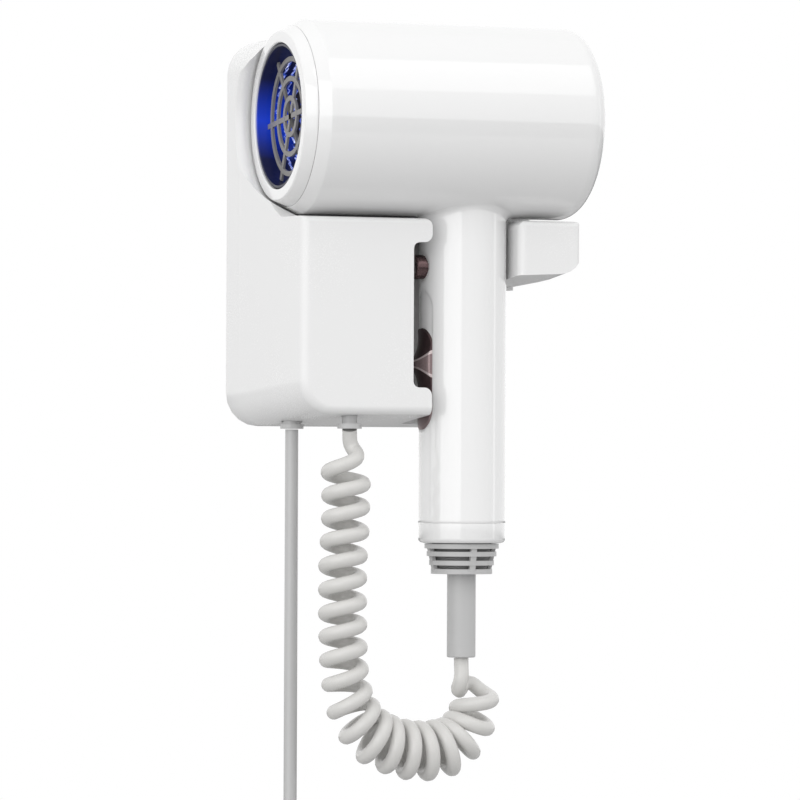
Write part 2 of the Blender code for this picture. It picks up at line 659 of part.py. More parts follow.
def make_strain_relief():
    floor_top = INLET_TIERS[-1][1]
    profile = [(0, floor_top + 4), (5.0, floor_top + 4), (RELIEF_R, floor_top + 3.4), (RELIEF_R + 1.6, floor_top + 3.0)]
    profile += [(RELIEF_R + 1.6, floor_top + GAP), (RELIEF_R, floor_top + GAP), (RELIEF_R, RELIEF_END_Z + 0.4)]
    profile += [(RELIEF_R - 0.4, RELIEF_END_Z), (3.3, RELIEF_END_Z), (3.3, RELIEF_END_Z + 8), (0, RELIEF_END_Z + 8)]
    turned("strain_relief", profile, GREY, steps=24)


def make_motor():
    frame = pipe("motor_frame", 14.2, 13.3, -158, -126, INNER, steps=36)
    core_profile = [(7.6, -142), (7.6, -157), (3.4, -157), (3.4, -155.6), (6.6, -155.6), (6.6, -142)]
    core = turned("motor_core", core_profile, None, steps=28, cutter=True)
    unite(frame, core)
    for number in range(5):
        vane = box(f"vane_{number + 1}", (7.2, -0.5, -155), (13.8, 0.5, -145), None, cutter=True)
        angle = math.tau * number / 5
        vane.location = (CENTRE + Vector((10.5 * math.cos(angle), 10.5 * math.sin(angle), -150))) * MM
        vane.rotation_euler = (0, 0, angle)
        unite(frame, vane)
    pipe("motor_winding", 6.3, 4.3, -154.5, -144, COPPER, steps=24)
    pipe("motor_bearing", 3.1, 1.35, -157, -155.4, STEEL, steps=20)
    for number, level in enumerate((-132.0, -153.0), 1):
        pipe(f"motor_damper_{number}", 15.3, 14.5, level - 1.5, level + 1.5, RUBBER, steps=32)
    magnet, shaft = 3.9, 1.05
    profile = [(0, -134), (shaft, -134), (shaft, -144.5), (magnet, -144.5), (magnet, -154), (shaft, -154), (shaft, -158.5),
               (0, -158.5)]
    turned("motor_rotor", profile, STEEL, steps=20)
    hub_profile = [(0, -129.5), (3.2, -130.3), (5.2, -133), (6.0, -141.2), (1.35, -141.2), (1.35, -133.6), (0, -133.6)]
    impeller = turned("impeller", hub_profile, DARK, steps=28)
    for number in range(7):
        angle = math.tau * number / 7
        blade = box(f"blade_{number + 1}", (4.0, -0.45, -3.6), (12.6, 0.45, 3.6), None, cutter=True)
        blade.location = (CENTRE + Vector((8.3 * math.cos(angle), 8.3 * math.sin(angle), -136.6))) * MM
        blade.rotation_euler = (math.radians(35), 0, angle)
        unite(impeller, blade)


def make_controls():
    box("control_board", (4.0, -9, -120), (5.4, 9, -88), BOARD)
    box("slide_switch", (-10.0, -4, -112), (3.6, 4, -82), DARK)
    box("button_switch", (-9.5, -4.5, BUTTON_Z - 5), (1.0, 4.5, BUTTON_Z + 5), DARK)
    button = [(0, -12.9), (5.9, -12.9), (5.9, -13.9), (BUTTON_R, -13.9), (BUTTON_R, BUTTON_X + 0.6),
              (BUTTON_R - 0.6, BUTTON_X), (0, BUTTON_X)]
    turned("cool_button", button, BRONZE, (0, 0, BUTTON_Z), "X", 32)
    plate = prism("speed_slider", capsule(SLIDER_HALF, SLIDER_TOP_Z, SLIDER_BOTTOM_Z), -26, -8, "YZ", BRONZE)
    crest = pipe("slider_shell", SLIDER_CREST_R, TRACK_R + GAP, -140, -60, None, steps=96, cutter=True)
    boolean(plate, crest, "INTERSECT")
    for number, (level, reach) in enumerate(((-79.0, 18.0), (-119.0, 20.0)), 1):
        depth = SLIDER_CREST_R - SLIDER_LOW_R
        radius = (reach ** 2 + depth ** 2) / (2 * depth)
        cut(plate, rod(f"thumb_scoop_{number}", radius, -12, 12, None, (-SLIDER_LOW_R - radius, 0, level), "Y", 160, True))
    stem = box("slider_stem", (-18.0, -1.1, -107), (-10.4, 1.1, -101), None, cutter=True)
    unite(plate, stem)


make_housing()
make_back_plate()
make_plate_screws()
make_wall_internals()
make_glands()
make_mains_lead()
make_curly_cord()
make_barrel()
make_outlet_ring()
make_grille()
make_heater()
make_handle()
make_handle_ring()
make_inlet()
make_strain_relief()
make_motor()
make_controls()
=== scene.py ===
# %% [markdown]
# # A wall-mounted hair dryer in its holder
#
# This lesson dresses a finished engineering model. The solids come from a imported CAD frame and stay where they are.
# We add the smooth surfaces, the cords and the finishes that make it look like the real appliance.
#
# One point is read from the frame: CENTRE, where the barrel's axis and the handle's axis cross. Every shape below
# is written in millimetres from there, with X along the barrel, Y into the wall and Z up.

# %% Load the frame
import json
import math

import bmesh
import bpy
from mathutils import Matrix, Vector


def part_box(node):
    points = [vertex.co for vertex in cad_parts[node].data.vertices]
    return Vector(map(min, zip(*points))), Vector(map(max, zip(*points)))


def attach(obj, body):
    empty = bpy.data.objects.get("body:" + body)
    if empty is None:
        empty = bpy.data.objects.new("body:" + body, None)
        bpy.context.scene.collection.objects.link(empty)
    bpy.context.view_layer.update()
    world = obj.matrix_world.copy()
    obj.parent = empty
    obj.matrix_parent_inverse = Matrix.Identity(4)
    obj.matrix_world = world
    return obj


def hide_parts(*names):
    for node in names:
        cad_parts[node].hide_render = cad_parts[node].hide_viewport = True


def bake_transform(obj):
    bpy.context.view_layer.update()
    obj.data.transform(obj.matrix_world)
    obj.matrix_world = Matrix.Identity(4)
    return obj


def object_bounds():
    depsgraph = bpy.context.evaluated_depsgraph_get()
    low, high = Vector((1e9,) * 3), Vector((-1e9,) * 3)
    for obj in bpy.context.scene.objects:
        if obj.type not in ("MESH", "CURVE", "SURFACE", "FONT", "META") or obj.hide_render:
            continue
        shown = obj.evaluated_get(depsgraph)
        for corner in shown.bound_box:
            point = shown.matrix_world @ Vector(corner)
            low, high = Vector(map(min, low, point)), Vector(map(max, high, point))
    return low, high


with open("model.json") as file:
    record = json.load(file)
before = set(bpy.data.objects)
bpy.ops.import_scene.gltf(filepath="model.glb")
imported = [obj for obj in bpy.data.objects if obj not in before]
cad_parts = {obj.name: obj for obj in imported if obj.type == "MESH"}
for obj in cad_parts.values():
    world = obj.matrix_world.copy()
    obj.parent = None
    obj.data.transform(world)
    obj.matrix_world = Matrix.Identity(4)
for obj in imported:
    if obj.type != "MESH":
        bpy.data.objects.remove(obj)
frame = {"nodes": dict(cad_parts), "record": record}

cad_bounds = [list(corner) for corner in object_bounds()]
MM = 0.001
barrel_low, barrel_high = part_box("barrel_shell")
handle_low, handle_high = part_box("handle_shell")
CENTRE = Vector(((handle_low.x + handle_high.x) / 2, (barrel_low.y + barrel_high.y) / 2,
                 (barrel_low.z + barrel_high.z) / 2))
print("nodes", len(frame["nodes"]), "barrel and handle axes cross at", [round(v, 4) for v in CENTRE])

# %% [markdown]
# ## The camera
#
# A long lens from about two metres flattens the perspective, as catalogue pictures of appliances do. The camera
# looks from a little to the left and very slightly from below, so the outlet's round face shows as an ellipse.
# We build its rotation from the direction it looks along and add a quarter of a degree of roll.

# %% Camera
AZIMUTH, ELEVATION, ROLL = math.radians(-20.3), math.radians(-0.8), math.radians(0.25)
DISTANCE = 2.0045
LENS_MM, SENSOR_MM = 225.0, 36.0
LOOK_AT = CENTRE + Vector((-26.7, 0.0, -112.5)) * MM
away = Vector((math.sin(AZIMUTH) * math.cos(ELEVATION), -math.cos(AZIMUTH) * math.cos(ELEVATION),
               math.sin(ELEVATION)))
lens = bpy.data.cameras.new("camera")
lens.lens, lens.sensor_width = LENS_MM, SENSOR_MM
lens.clip_start, lens.clip_end = 0.05, 50.0
camera = bpy.data.objects.new("camera", lens)
bpy.context.scene.collection.objects.link(camera)
across = Vector((0, 0, 1)).cross(away).normalized()
upward = away.cross(across)
right = across * math.cos(ROLL) + upward * math.sin(ROLL)
turn = Matrix((right, away.cross(right), away)).transposed()
camera.matrix_world = Matrix.Translation(LOOK_AT + away * DISTANCE) @ turn.to_4x4()
bpy.context.scene.camera = camera
print("camera at", [round(v, 3) for v in camera.matrix_world.translation])

# %% [markdown]
# ## Helpers for shapes
#
# Almost everything on a hair dryer is turned or moulded, so three helpers do most of the work. `lathe` spins an
# outline round an axis, `swept_tube` carries a round section along a path, and `smooth_copy` takes a CAD node,
# joins its loose triangles and shades it softly while its real edges stay crisp.

# %% Shape helpers
def mesh_piece(name, points, faces, sharp=35.0):
    """A smooth-shaded object at the origin, with its outward side worked out and its real edges kept sharp."""
    mesh = bpy.data.meshes.new(name)
    mesh.from_pydata([tuple(point) for point in points], [], faces)
    shape = bmesh.new()
    shape.from_mesh(mesh)
    bmesh.ops.remove_doubles(shape, verts=shape.verts, dist=1e-7)
    bmesh.ops.recalc_face_normals(shape, faces=shape.faces)
    shape.to_mesh(mesh)
    shape.free()
    mesh.shade_smooth()
    mesh.set_sharp_from_angle(angle=math.radians(sharp))
    piece = bpy.data.objects.new(name, mesh)
    bpy.context.scene.collection.objects.link(piece)
    return piece


def arc(center, radius, start, end, steps):
    """Points round a centre from one angle to another, in degrees."""
    angles = [math.radians(start + (end - start) * step / steps) for step in range(steps + 1)]
    return [(center[0] + radius * math.cos(angle), center[1] + radius * math.sin(angle)) for angle in angles]


def rounded(corners, steps=4):
    """An outline whose corners, each (radius out, along, rounding), are turned into short arcs."""
    points = []
    count = len(corners)
    for index, (out, along, size) in enumerate(corners):
        corner = Vector((out, along))
        before = (Vector(corners[index - 1][:2]) - corner).normalized()
        after = (Vector(corners[(index + 1) % count][:2]) - corner).normalized()
        if size <= 0:
            points.append(corner)
            continue
        half = before.angle(after) / 2
        reach = size / math.tan(half)
        middle = corner + (before + after).normalized() * size / math.sin(half)
        start, end = corner + before * reach - middle, corner + after * reach - middle
        sweep = start.angle_signed(end)
        for step in range(steps + 1):
            share = -sweep * step / steps
            points.append(middle + Matrix.Rotation(share, 2) @ start)
    return [tuple(point) for point in points]


def lathe(name, outline, axis, steps=144, origin=(0, 0, 0), sharp=35.0):
    """Spins a closed outline of (radius, along) round X or Z through a point, all in millimetres."""
    points, faces = [], []
    for step in range(steps):
        angle = math.tau * step / steps
        for radius, along in outline:
            side, front = radius * math.cos(angle), radius * math.sin(angle)
            place = (along, side, front) if axis == "X" else (side, front, along)
            points.append(CENTRE + (Vector(place) + Vector(origin)) * MM)
    count = len(outline)
    for step in range(steps):
        here, there = step * count, (step + 1) % steps * count
        for index in range(count):
            after = (index + 1) % count
            if outline[index][0] < 1e-6 and outline[after][0] < 1e-6:
                continue
            faces.append((here + index, here + after, there + after, there + index))
    return mesh_piece(name, points, faces, sharp)


def swept_tube(name, path, radius, sides=12):
    """A round tube along a path in metres, closed at both ends. Its section is carried along without twisting."""
    points, faces = [], []
    forward = (path[1] - path[0]).normalized()
    side = forward.orthogonal().normalized()
    last = len(path) - 1
    for index, place in enumerate(path):
        ahead = (path[min(index + 1, last)] - path[max(index - 1, 0)]).normalized()
        side = (forward.rotation_difference(ahead) @ side).normalized()
        forward = ahead
        other = forward.cross(side)
        for step in range(sides):
            angle = math.tau * step / sides
            points.append(place + (side * math.cos(angle) + other * math.sin(angle)) * radius)
    for index in range(last):
        for step in range(sides):
            after = (step + 1) % sides
            low, high = index * sides, (index + 1) * sides
            faces.append((low + step, low + after, high + after, high + step))
    faces.append(tuple(range(sides)))
    faces.append(tuple(last * sides + step for step in range(sides)))
    return mesh_piece(name, points, faces, 50.0)


def catmull(anchors, share):
    """The point at a share of a smooth curve's middle stretch, through four anchors of any length."""
    before, start, end, after = anchors
    return [0.5 * (2 * b + (c - a) * share + (2 * a - 5 * b + 4 * c - d) * share ** 2
                   + (3 * b - a - 3 * c + d) * share ** 3) for a, b, c, d in zip(before, start, end, after)]


FLAT_WITHIN = math.radians(0.6)


def smooth_copy(node, sharp=35.0):
    """A soft-shaded copy of a CAD node, with its triangles joined into whole flat faces."""
    shape = bmesh.new()
    shape.from_mesh(frame["nodes"][node].data)
    bmesh.ops.remove_doubles(shape, verts=shape.verts, dist=1e-6)
    bmesh.ops.dissolve_limit(shape, angle_limit=FLAT_WITHIN, verts=shape.verts, edges=shape.edges)
    shape.verts.index_update()
    points = [vertex.co.copy() for vertex in shape.verts]
    faces = [[vertex.index for vertex in face.verts] for face in shape.faces]
    shape.free()
    piece = mesh_piece(node + "_smooth", points, faces, sharp)
    even = piece.modifiers.new("even_light", "WEIGHTED_NORMAL")
    even.keep_sharp = True
    return piece


NODE_BODY = {node: body for body, nodes in frame["record"]["behaviour"]["bodies"].items() for node in nodes}
NODE_SLOT = {part["node"]: part["material_slot"] for part in frame["record"]["subparts"]}
FINISHED = []


def stands_for(piece, *nodes):
    """Puts a piece in the place of CAD nodes: it takes their body and their finish."""
    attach(piece, NODE_BODY[nodes[0]])
    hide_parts(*nodes)
    FINISHED.append((piece, NODE_SLOT[nodes[0]]))
    return piece


print("helpers ready for", len(NODE_SLOT), "nodes")

# %% [markdown]
# ## The curly cord
#
# A curly cord is a cable wound on a rod and baked, so it stays a helix with a soft middle line. It could be an
# array bent along a curve, but the turns open out at the bottom of the loop, where the weight hangs. So we list
# the middle line's anchors, give each anchor its coil radius and its turn number, run one smooth curve through all
# five values, and let a loop lay 24 points on each turn. Each end narrows into its gland.

# %% Curly cord
CURLY_D = 5.9
POINTS_PER_TURN = 24
CURLY_ROUTE = (
    (-51.0, -8.0, -124.5, 0.0, -0.72), (-51.0, -8.0, -126.7, 0.8, -0.68), (-52.3, -8.0, -132.7, 3.6, -0.5),
    (-52.5, -8.0, -140.9, 7.0, 0), (-52.5, -8.0, -150.2, 6.9, 1), (-52.5, -8.0, -159.6, 6.9, 2),
    (-53.0, -8.0, -169.0, 6.9, 3), (-53.6, -8.0, -178.4, 6.9, 4), (-53.6, -8.0, -187.7, 6.9, 5),
    (-53.6, -8.0, -197.1, 6.9, 6), (-53.4, -8.0, -206.2, 6.9, 7), (-53.1, -8.0, -215.3, 6.9, 8),
    (-51.9, -7.1, -224.4, 6.9, 9), (-49.3, -6.2, -233.9, 7.4, 10), (-44.4, -5.3, -241.8, 8.1, 11),
    (-38.1, -4.4, -247.6, 8.8, 12), (-30.9, -3.6, -250.6, 9.0, 13), (-23.2, -2.7, -252.6, 9.2, 14),
    (-15.3, -1.8, -253.0, 9.4, 15), (-7.3, -0.9, -251.9, 9.2, 16), (-0.7, 0.0, -247.9, 8.3, 17),
    (4.4, 0.0, -241.0, 7.4, 18), (6.0, 0.0, -231.5, 6.9, 19), (5.8, 0.0, -226.4, 6.8, 19.25),
    (3.4, 0.0, -223.8, 6.2, 19.5), (0.6, 0.0, -220.2, 1.2, 19.63), (0.0, 0.0, -216.1, 0.0, 19.68),
)


def curly_path(route):
    """The cable's own line: the middle line, and round it the coil."""
    ends = [[2 * a - b for a, b in zip(route[0], route[1])], [2 * a - b for a, b in zip(route[-1], route[-2])]]
    padded = [ends[0], *route, ends[1]]
    samples = []
    for four in zip(padded, padded[1:], padded[2:], padded[3:]):
        steps = max(4, math.ceil((four[2][4] - four[1][4]) * POINTS_PER_TURN))
        samples += [catmull(four, step / steps) for step in range(steps)]
    samples.append(list(route[-1]))
    path = []
    last = len(samples) - 1
    for index, (x, y, z, radius, wound) in enumerate(samples):
        ahead = Vector(samples[min(index + 1, last)][:3]) - Vector(samples[max(index - 1, 0)][:3])
        ahead.normalize()
        outer = ahead.cross(Vector((0, 1, 0))).normalized()
        deep = outer.cross(ahead)
        angle = math.pi - math.tau * wound
        offset = (outer * math.cos(angle) + deep * math.sin(angle)) * max(radius, 0.0)
        path.append(CENTRE + (Vector((x, y, z)) + offset) * MM)
    return path


def run_length(path):
    return sum((b - a).length for a, b in zip(path, path[1:]))


curly_line = curly_path(CURLY_ROUTE)
curly_cord = swept_tube("curly_cord_cable", curly_line, CURLY_D / 2 * MM, 16)
curly_length = run_length(curly_line)
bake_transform(curly_cord)
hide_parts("curly_cord")
FINISHED.append((curly_cord, "cord_jacket"))
print("curly cord", round(curly_length, 3), "m of cable in", len(curly_line), "points")

# %% [markdown]
# ## The mains lead
#
# The lead drops straight from its gland. What isn't needed is stored as a neat round coil well below the holder:
# six turns, in three columns and two layers a cable apart, tied at the bottom. A loop lays the turns, and each one
# slides into its neighbour's place over the last fifth of its circle, so the whole lead is one unbroken line.

# %% Mains lead, coil, tail and plug
MAINS_D, LAYER_PITCH = 5.4, 5.5
LEAD_X, LEAD_Y, LEAD_TOP = -67.0, 16.0, -124.5
COIL_Z, COIL_R, TAIL_R, TAIL_Y, TAIL_END = -319.0, 38.0, 29.0, 4.6, -365.0
COIL_CELLS = ((0, 0), (1, 0), (1, 1), (0, 1), (-1, 1), (-1, 0))
COIL_STEPS = 36
DROP_STEPS, TAIL_STEPS = 14, 6
SHIFT = (0.78, 0.22)                          # where in a turn its move begins, and how long it lasts
LAST_ASIDE, LAST_INWARD = (0.55, 0.25), (0.72, 0.28)


def ease(value):
    """A soft step from 0 to 1."""
    value = min(max(value, 0.0), 1.0)
    return value * value * (3 - 2 * value)


def moved(share, window):
    """How much of a move is done at a share of the turn."""
    begins, lasts = window
    return ease((share - begins) / lasts)


def coil_points():
    """The coil's turns: each keeps its cell, then slides to the next one's."""
    cells = [(LEAD_Y + column * MAINS_D, COIL_R - layer * LAYER_PITCH) for column, layer in COIL_CELLS]
    cells.append((TAIL_Y, TAIL_R))
    middle_x = LEAD_X + COIL_R
    points = []
    for index in range(len(COIL_CELLS) * COIL_STEPS + 1):
        number, part = divmod(index, COIL_STEPS)
        share = part / COIL_STEPS
        here, after = cells[number], cells[min(number + 1, len(COIL_CELLS))]
        leaving = number == len(COIL_CELLS) - 1
        aside = moved(share, LAST_ASIDE if leaving else SHIFT)
        inward = moved(share, LAST_INWARD if leaving else SHIFT)
        y = here[0] + (after[0] - here[0]) * aside
        radius = here[1] + (after[1] - here[1]) * inward
        angle = math.pi + math.tau * (number + share)
        points.append((middle_x + radius * math.cos(angle), y, COIL_Z + radius * math.sin(angle)))
    return points


drop = [(LEAD_X, LEAD_Y, LEAD_TOP + (COIL_Z - LEAD_TOP) * step / DROP_STEPS) for step in range(DROP_STEPS)]
tail_x = LEAD_X + COIL_R - TAIL_R
tail = [(tail_x, TAIL_Y, COIL_Z + (TAIL_END - COIL_Z) * step / TAIL_STEPS)
        for step in range(1, TAIL_STEPS + 1)]
mains_line = [CENTRE + Vector(point) * MM for point in drop + coil_points() + tail]
mains_cord = swept_tube("mains_cable", mains_line, MAINS_D / 2 * MM, 14)
mains_length = run_length(mains_line)
stands_for(mains_cord, "mains_lead", "mains_coil", "mains_tail")
plug_pieces = [stands_for(smooth_copy(node), node)
               for node in ("plug_strain_relief", "plug_body", "plug_pin_1", "plug_pin_2", "coil_tie")]
print("mains lead", round(mains_length, 3), "m")

# %% [markdown]
# ## The barrel and its front ring
#
# The barrel is one glossy moulding with a flat, softly rounded back and a short cone towards the outlet. Gloss shows
# every facet, so these two are turned again with many more steps than the CAD solids need. The thin dark line
# between them is a real gap in the outline.

# %% Barrel and outlet ring
BARREL_R, END_X, END_R = 39.0, 48.3, 7.7
CONE_X, SEAM_X, SEAM_R = -69.6, -74.3, 36.3
WALL = 2.0
SEAM_GAP = 0.05
inner_r = BARREL_R - WALL
barrel_outline = [(0, END_X)] + arc((BARREL_R - END_R, END_X - END_R), END_R, 90, 0, 16)
barrel_outline += rounded([(BARREL_R, 0, 0), (BARREL_R, CONE_X, 2.0), (SEAM_R, SEAM_X + SEAM_GAP, 0.2),
                           (34.3, SEAM_X + SEAM_GAP, 0), (inner_r, CONE_X + 0.8, 0)])
barrel_outline += arc((inner_r - 5.7, END_X - END_R), 5.7, 0, 90, 4) + [(0, END_X - WALL)]
barrel = stands_for(lathe("barrel_casing", barrel_outline, "X", 192), "barrel_shell")

OUTLET_X, BORE_R, RIM_R = -79.1, 29.1, 33.5
ring_outline = rounded([(33.8, SEAM_X - SEAM_GAP, 0), (SEAM_R - 0.1, SEAM_X - SEAM_GAP, 0.2),
                        (RIM_R + 0.3, OUTLET_X, 0.9), (BORE_R, OUTLET_X, 0.5), (BORE_R, SEAM_X + 2.6, 0),
                        (33.8, SEAM_X + 2.6, 0)])
outlet_ring = stands_for(lathe("outlet_front_ring", ring_outline, "X", 192), "outlet_ring")
print("barrel", len(barrel.data.polygons), "faces, ring", len(outlet_ring.data.polygons))

# %% [markdown]
# ## Inside the outlet
#
# A clear blue light guide lines the bore, a flat grey grille sits a few millimetres inside, and behind it a
# crimped heating wire runs round and round. The grille's rings and spokes repeat, so Geometry Nodes make them. One
# small class adds nodes and lets an output take part in ordinary Python sums, which keeps the trees short to read.

# %% A small language for node trees
class Signal:
    """A node's output. Sums and products of signals add Math nodes to the tree."""

    def __init__(self, graph, socket):
        self.graph, self.socket = graph, socket

    def math(self, operation, *values):
        return self.graph.node("ShaderNodeMath", {"operation": operation}, dict(enumerate(values)))

    def __add__(self, other):
        return self.math("ADD", self, other)

    def __sub__(self, other):
        return self.math("SUBTRACT", self, other)

    def __rsub__(self, other):
        return self.math("SUBTRACT", other, self)

    def __mul__(self, other):
        return self.math("MULTIPLY", self, other)

    def __truediv__(self, other):
        return self.math("DIVIDE", self, other)

    __radd__, __rmul__ = __add__, __mul__


class Graph:
    """Adds nodes to a shader or geometry tree."""

    def __init__(self, tree):
        self.tree = tree

    def plug(self, node, sockets):
        for key, value in sockets.items():
            if isinstance(value, Signal):
                self.tree.links.new(value.socket, node.inputs[key])
            else:
                node.inputs[key].default_value = value

    def node(self, kind, settings=None, sockets=None, out=0):
        made = self.tree.nodes.new(kind)
        for key, value in (settings or {}).items():
            if key == "stops":
                ramp = made.color_ramp.elements
                for place, shade in value[1:-1]:
                    ramp.new(place).color = shade
                ramp[0].position, ramp[0].color = value[0]
                ramp[-1].position, ramp[-1].color = value[-1]
            else:
                setattr(made, key, value)
        self.plug(made, sockets or {})
        return Signal(self, made.outputs[out])


def geometry_tree(name, inputs):
    """An empty geometry tree with named number inputs, its Graph and those inputs as signals."""
    tree = bpy.data.node_groups.new(name, "GeometryNodeTree")
    for label, value in inputs.items():
        socket = tree.interface.new_socket(label, in_out="INPUT", socket_type="NodeSocketFloat")
        socket.default_value = value
    tree.interface.new_socket("Geometry", in_out="OUTPUT", socket_type="NodeSocketGeometry")
    graph = Graph(tree)
    entry = tree.nodes.new("NodeGroupInput")
    signals = {label: Signal(graph, entry.outputs[label]) for label in inputs}
    return tree, graph, signals


def grown(name, tree, values, sharp=35.0):
    """Runs a geometry tree on an empty mesh and keeps the result as a plain smooth mesh."""
    holder = bpy.data.objects.new(name + "_grower", bpy.data.meshes.new(name + "_grower"))
    bpy.context.scene.collection.objects.link(holder)
    step = holder.modifiers.new("grow", "NODES")
    step.node_group = tree
    for item in tree.interface.items_tree:
        if item.in_out == "INPUT" and item.name in values:
            step[item.identifier] = float(values[item.name])
    held = holder.evaluated_get(bpy.context.evaluated_depsgraph_get())
    source = bpy.data.meshes.new_from_object(held)
    points = [vertex.co.copy() for vertex in source.vertices]
    faces = [tuple(face.vertices) for face in source.polygons]
    bpy.data.objects.remove(holder, do_unlink=True)
    bpy.data.meshes.remove(source)
    return mesh_piece(name, points, faces, sharp)


print("node language ready")

# %% [markdown]
# ### The grille
#
# Three flat rings stand on six spokes. The tree repeats one ring with a growing radius and one spoke turned in steps
# of sixty degrees. A ring is a circle with a small square section swept along it. Then everything is turned to face
# along the barrel and moved to its place.

# %% Grille
RING_COUNT, SPOKE_COUNT = 3, 6
INNER_RING_R, RING_STEP, STRIP_W, SPOKE_REACH = 7.3, 7.8, 2.0, 27.3
RING_POINTS, SPOKE_THINNER = 128, 0.9
GRILLE_X, GRILLE_DEPTH, SPOKE_TILT = -74.0, 1.0, 24.5


def grille_tree(finish):
    tree, graph, given = geometry_tree("grille_rings_and_spokes", {
        "Inner radius": INNER_RING_R * MM, "Ring step": RING_STEP * MM, "Strip width": STRIP_W * MM,
        "Reach": SPOKE_REACH * MM, "Depth": GRILLE_DEPTH * MM})
    joined = tree.nodes.new("GeometryNodeJoinGeometry")
    section = graph.node("GeometryNodeCurvePrimitiveQuadrilateral", {"mode": "RECTANGLE"},
                         {"Width": given["Strip width"], "Height": given["Depth"]})
    for ring in range(RING_COUNT):
        radius = given["Inner radius"] + given["Ring step"] * ring
        circle = graph.node("GeometryNodeCurvePrimitiveCircle", {}, {"Resolution": RING_POINTS, "Radius": radius})
        swept = graph.node("GeometryNodeCurveToMesh", {}, {"Curve": circle, "Profile Curve": section})
        tree.links.new(swept.socket, joined.inputs[0])
    thin = given["Depth"] * SPOKE_THINNER
    size = graph.node("ShaderNodeCombineXYZ", {}, {0: given["Reach"], 1: given["Strip width"], 2: thin})
    bar = graph.node("GeometryNodeMeshCube", {}, {"Size": size})
    half_way = graph.node("ShaderNodeCombineXYZ", {}, {0: given["Reach"] * 0.5})
    placed = graph.node("GeometryNodeTransform", {}, {"Geometry": bar, "Translation": half_way})
    for spoke in range(SPOKE_COUNT):
        angle = math.tau * spoke / SPOKE_COUNT + math.radians(SPOKE_TILT)
        turned = graph.node("GeometryNodeTransform", {}, {"Geometry": placed, "Rotation": (0.0, 0.0, angle)})
        tree.links.new(turned.socket, joined.inputs[0])
    facing = graph.node("GeometryNodeTransform", {}, {
        "Geometry": Signal(graph, joined.outputs[0]), "Rotation": (0.0, math.radians(90), 0.0),
        "Translation": CENTRE + Vector((GRILLE_X + GRILLE_DEPTH / 2, 0, 0)) * MM})
    real = graph.node("GeometryNodeRealizeInstances", {}, {"Geometry": facing})
    dressed = graph.node("GeometryNodeSetMaterial", {}, {"Geometry": real, "Material": finish})
    way_out = tree.nodes.new("NodeGroupOutput")
    tree.links.new(dressed.socket, way_out.inputs[0])
    return tree


grille_finish = bpy.data.materials.new("grille_paint")
grille = grown("outlet_grille_bars", grille_tree(grille_finish), {"Reach": SPOKE_REACH * MM})
stands_for(grille, "outlet_grille")
print("grille", len(grille.data.polygons), "faces")

# %% [markdown]
# ### The heating wire and the blue light guide
#
# The wire is crimped into a fine zigzag so that more of it fits, then wound round a mica cross. A circle array
# can't give a crimp that alternates, so its path is a formula, a slow spiral plus a fast triangle wave, and a tube
# is swept along it. The light guide is a thin clear sleeve, turned like the ring round it.

# %% Heating wire and light guide
WIRE_R, CRIMP, CRIMPS, WIRE_TURNS = 24.4, 1.0, 44, 12
WIRE_START, WIRE_END, WIRE_D, CRIMP_LEAN = -71.0, -30.0, 0.8, 0.9


def wire_path():
    """A spiral that zigzags in and out as it goes round."""
    points = []
    count = CRIMPS * WIRE_TURNS * 2
    for index in range(count + 1):
        angle = math.tau * index / (CRIMPS * 2)
        swing = 1 if index % 2 else -1
        radius = WIRE_R + CRIMP * swing
        x = WIRE_START + (WIRE_END - WIRE_START) * index / count + swing * CRIMP_LEAN
        points.append(CENTRE + Vector((x, radius * math.cos(angle), radius * math.sin(angle))) * MM)
    return points


wire = stands_for(swept_tube("crimped_heating_wire", wire_path(), WIRE_D / 2 * MM, 6), "heater_coil")
SLEEVE_R, SLEEVE_OUT, SLEEVE_FRONT, SLEEVE_END = 27.6, 28.8, OUTLET_X + 0.7, -63.3
sleeve_outline = rounded([(SLEEVE_R, SLEEVE_FRONT, 0.3), (SLEEVE_R, SLEEVE_END, 0), (SLEEVE_OUT, SLEEVE_END, 0),
                          (SLEEVE_OUT, SLEEVE_FRONT, 0.3)])
light_guide = stands_for(lathe("light_guide_sleeve", sleeve_outline, "X", 144), "light_ring")
print("wire", len(wire.data.polygons), "faces, light guide", len(light_guide.data.polygons))

# %% [markdown]
# ## The handle
#
# The handle is a plain glossy tube that grows out of the barrel through a small fillet, with a shallow track for the
# slide control and a fine groove round the push button. A Boolean would leave slivers that gloss makes visible.
# Instead we compute the skin point by point: a dense grid round the tube, pushed in where the track and the groove
# are, and at the top an arc that is tangent to the tube and to the barrel.

# %% Handle skin
HANDLE_R, HANDLE_T, HANDLE_END = 17.6, 2.0, -161.68
FILLET, FILLET_STEPS = 3.0, 8
TRACK_HALF, TRACK_TOP, TRACK_LOW = 7.8, -68.0, -124.8
TRACK_DEPTH, TRACK_EDGE = 0.45, 0.7
BUTTON_Z, BUTTON_R = -59.1, 4.9
GROOVE, GROOVE_DEPTH, GROOVE_OUT = 0.7, 0.5, 0.25
NECK_INSIDE, INNER_RISE, RIM = 1.0, 5.5, 0.2
AROUND, ROW_PITCH, STRAIGHT_TOP = 224, 0.8, -45.0


def dent(y, z):
    """How deep the skin is pushed in at a place on the side of the controls."""
    nearest = min(max(z, TRACK_LOW + TRACK_HALF), TRACK_TOP - TRACK_HALF)
    inside = TRACK_HALF - math.hypot(y, z - nearest)
    groove = 1 - abs(math.hypot(y, z - BUTTON_Z) - BUTTON_R - GROOVE_OUT) / GROOVE
    return TRACK_DEPTH * ease(inside / TRACK_EDGE) + GROOVE_DEPTH * ease(groove)


